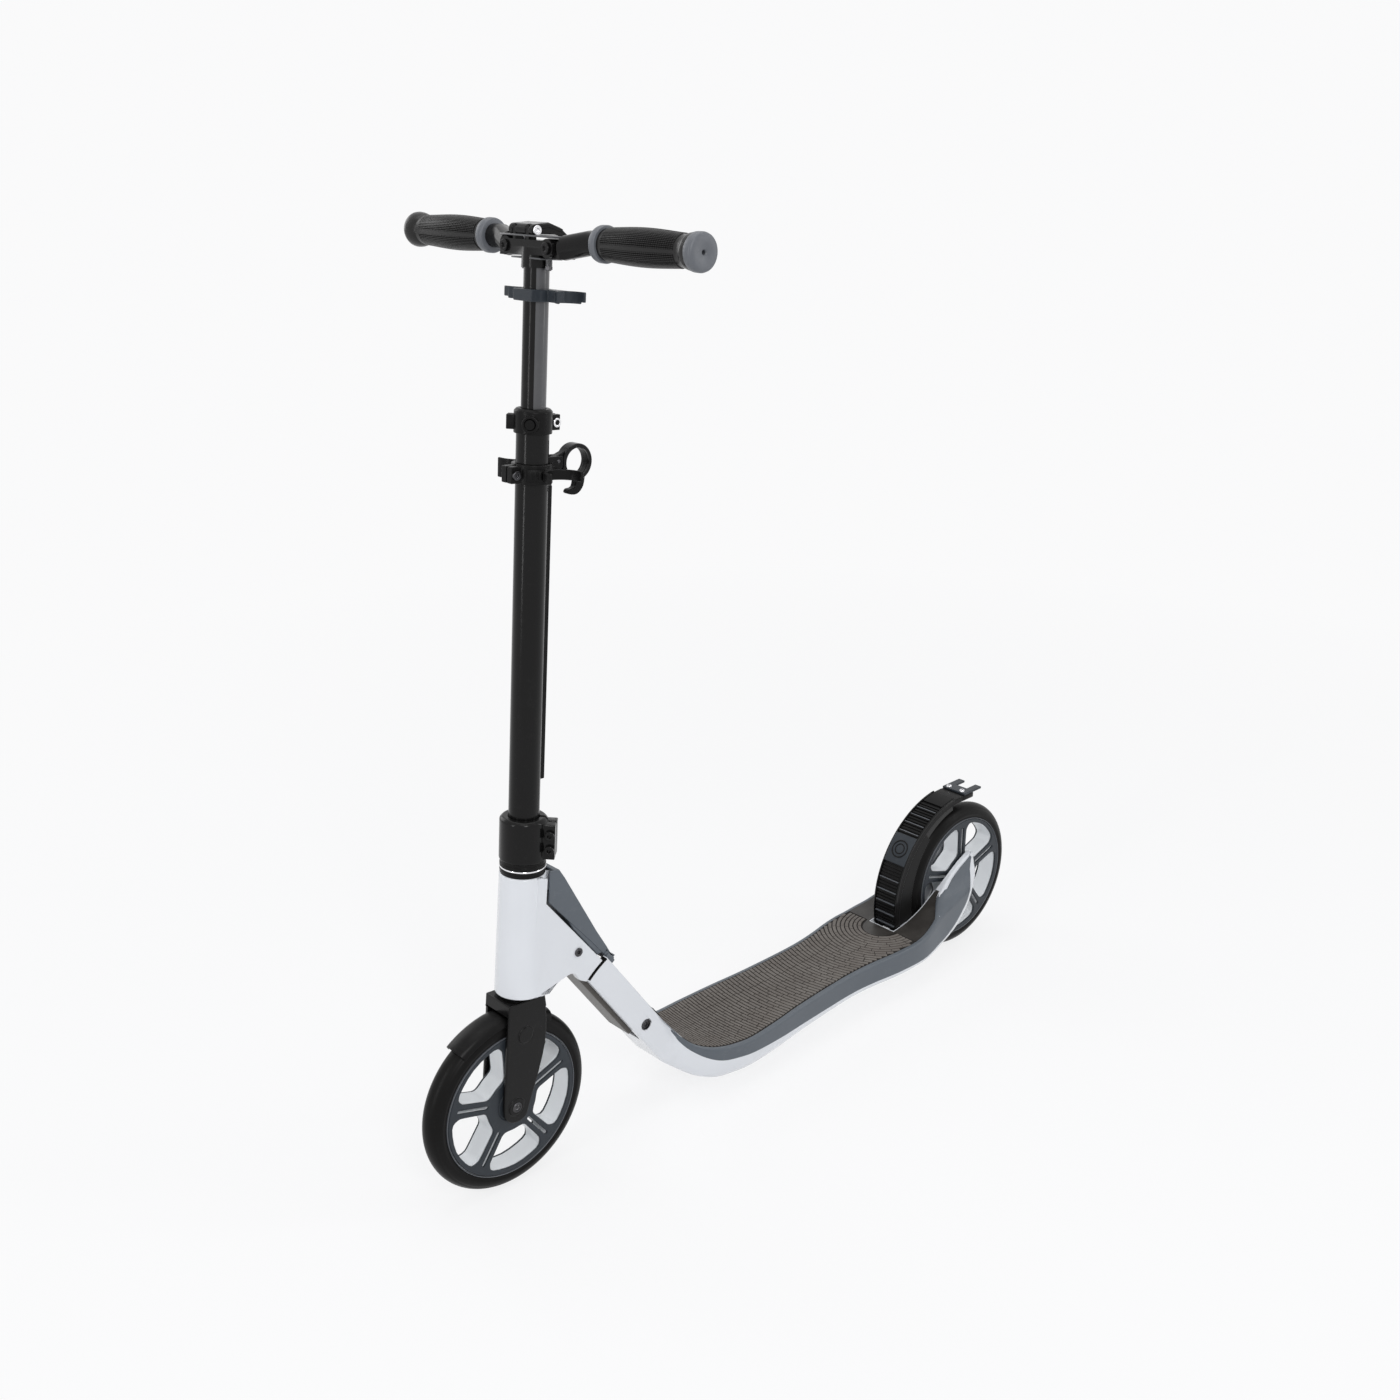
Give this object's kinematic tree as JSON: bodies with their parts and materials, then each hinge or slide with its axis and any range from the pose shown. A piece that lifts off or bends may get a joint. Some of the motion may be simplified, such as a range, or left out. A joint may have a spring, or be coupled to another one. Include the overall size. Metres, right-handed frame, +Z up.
{
  "type": "kick scooter",
  "caption": "Folding two-wheel kick scooter with a waisted deck, telescopic column, fold-down handlebar halves and a fender brake.",
  "frame": {"origin": "on the ground, midway between the two axles, in the middle plane", "axes": "+X forward, +Y to the rider's left, +Z up"},
  "size_m": [0.973, 0.428, 1.0041],
  "materials": {
    "white_shell": "gloss",
    "slate": "satin",
    "dark_slate": "satin",
    "mat": "matte",
    "taupe_paint": "satin",
    "black_paint": "satin",
    "black_plastic": "matte",
    "grip_rubber": "matte",
    "tyre": "matte",
    "wheel_core": "satin",
    "steel": "brushed",
    "chrome": "polished",
    "alloy": "satin",
    "brass": "satin"
  },
  "bodies": {
    "deck": {"deck_shell": "white_shell", "deck_beam": "alloy", "side_trim_left": "dark_slate", "side_trim_right": "dark_slate", "grip_mat": "mat", "fold_pivot_bolt": "black_paint", "fold_stop": "grip_rubber", "rear_axle": "steel", "rear_spacers": "steel", "fender_pin": "steel", "fender_spring": "steel"},
    "rear_wheel": {"rear_tyre": "tyre", "rear_wheel_core": "wheel_core", "rear_wheel_faces": "slate", "rear_bearings": "steel", "rear_bearing_spacer": "steel"},
    "brake": {"brake_fender": "black_plastic", "brake_pad": "grip_rubber", "tail_screws": "chrome", "catch_plate": "black_paint"},
    "head": {"neck_tongue": "taupe_paint", "head_shell": "white_shell", "head_screws": "steel", "headset_bearings": "steel", "headset_ring": "black_plastic", "pivot_bushes": "brass", "latch_pin": "steel"},
    "fold_lever": {"fold_lever": "dark_slate"},
    "steering": {"fork": "black_paint", "steerer_tube": "steel", "front_mudguard": "black_plastic", "front_axle": "steel", "front_spacers": "steel", "column_clamp": "black_paint", "clamp_bolts": "chrome", "outer_tube": "black_paint", "rear_strip": "black_plastic", "top_bush": "black_plastic", "height_collar": "black_plastic", "collar_bolt": "chrome", "lower_clip": "black_plastic", "clip_screw": "chrome"},
    "front_wheel": {"front_tyre": "tyre", "front_wheel_core": "wheel_core", "front_wheel_faces": "slate", "front_bearings": "steel", "front_bearing_spacer": "steel"},
    "catch_hook": {"catch_hook": "black_plastic"},
    "bar_stem": {"inner_tube": "black_paint", "upper_clip": "black_plastic", "bar_bracket": "dark_slate", "bar_pivot_bolts": "chrome", "lock_axle": "chrome"},
    "height_button": {"height_button": "black_plastic"},
    "left_bar": {"left_bar": "black_paint", "left_grip": "grip_rubber"},
    "right_bar": {"right_bar": "black_paint", "right_grip": "grip_rubber"},
    "bar_lock": {"bar_lock_lever": "slate"},
    "lock_pins": {"lock_pins": "steel"}
  },
  "joints": [
    {"name": "fold", "type": "hinge", "parent": "deck", "child": "head", "pos_m": [0.203, 0, 0.127], "axis": [0, -1, 0], "range_deg": [0, 84.9]},
    {"name": "fold_lever", "type": "hinge", "parent": "head", "child": "fold_lever", "pos_m": [0.31441, 0, 0.34226], "axis": [0, 1, 0], "range_deg": [0, 8], "stiffness_Nm_per_rad": 1, "springref_deg": -8.59},
    {"name": "steer", "type": "hinge", "parent": "head", "child": "steering", "pos_m": [0.35587, 0, 0.22649], "axis": [-0.0889, 0, 0.996], "range_deg": [-80, 80]},
    {"name": "front_wheel", "type": "hinge", "parent": "steering", "child": "front_wheel", "pos_m": [0.384, 0, 0.1025], "axis": [0, 1, 0], "continuous": true},
    {"name": "rear_wheel", "type": "hinge", "parent": "deck", "child": "rear_wheel", "pos_m": [-0.384, 0, 0.1025], "axis": [0, 1, 0], "continuous": true},
    {"name": "brake", "type": "hinge", "parent": "deck", "child": "brake", "pos_m": [-0.25, 0, 0.064], "axis": [0, -1, 0], "range_deg": [0, 2.4], "stiffness_Nm_per_rad": 10, "springref_deg": -5.73},
    {"name": "catch_hook", "type": "hinge", "parent": "steering", "child": "catch_hook", "pos_m": [0.27919, 0, 0.78187], "axis": [0, 1, 0], "range_deg": [0, 15], "stiffness_Nm_per_rad": 0.3, "springref_deg": -11.46},
    {"name": "height", "type": "slide", "parent": "steering", "child": "bar_stem", "axis": [-0.0889, 0, 0.996], "range_m": [-0.085, 0]},
    {"name": "height_button", "type": "slide", "parent": "steering", "child": "height_button", "axis": [-0.7043, -0.7071, -0.0629], "range_m": [0, 0.002], "stiffness_N_per_m": 500, "springref_m": -0.002},
    {"name": "left_bar", "type": "hinge", "parent": "bar_stem", "child": "left_bar", "pos_m": [0.28848, 0.031, 0.98149], "axis": [-0.996, 0, -0.0889], "range_deg": [0, 90]},
    {"name": "right_bar", "type": "hinge", "parent": "bar_stem", "child": "right_bar", "pos_m": [0.28848, -0.031, 0.98149], "axis": [0.996, 0, 0.0889], "range_deg": [0, 90]},
    {"name": "bar_lock", "type": "hinge", "parent": "bar_stem", "child": "bar_lock", "pos_m": [0.29412, 0, 0.99705], "axis": [0, 1, 0], "range_deg": [0, 20], "stiffness_Nm_per_rad": 0.3, "springref_deg": -11.46},
    {"name": "lock_pins", "type": "slide", "parent": "bar_stem", "child": "lock_pins", "axis": [-0.0889, 0, 0.996], "range_m": [0, 0.004]}
  ],
  "couplings": [
    {"joint": "lock_pins", "follows": "bar_lock", "m_per_rad": 0.0114}
  ]
}
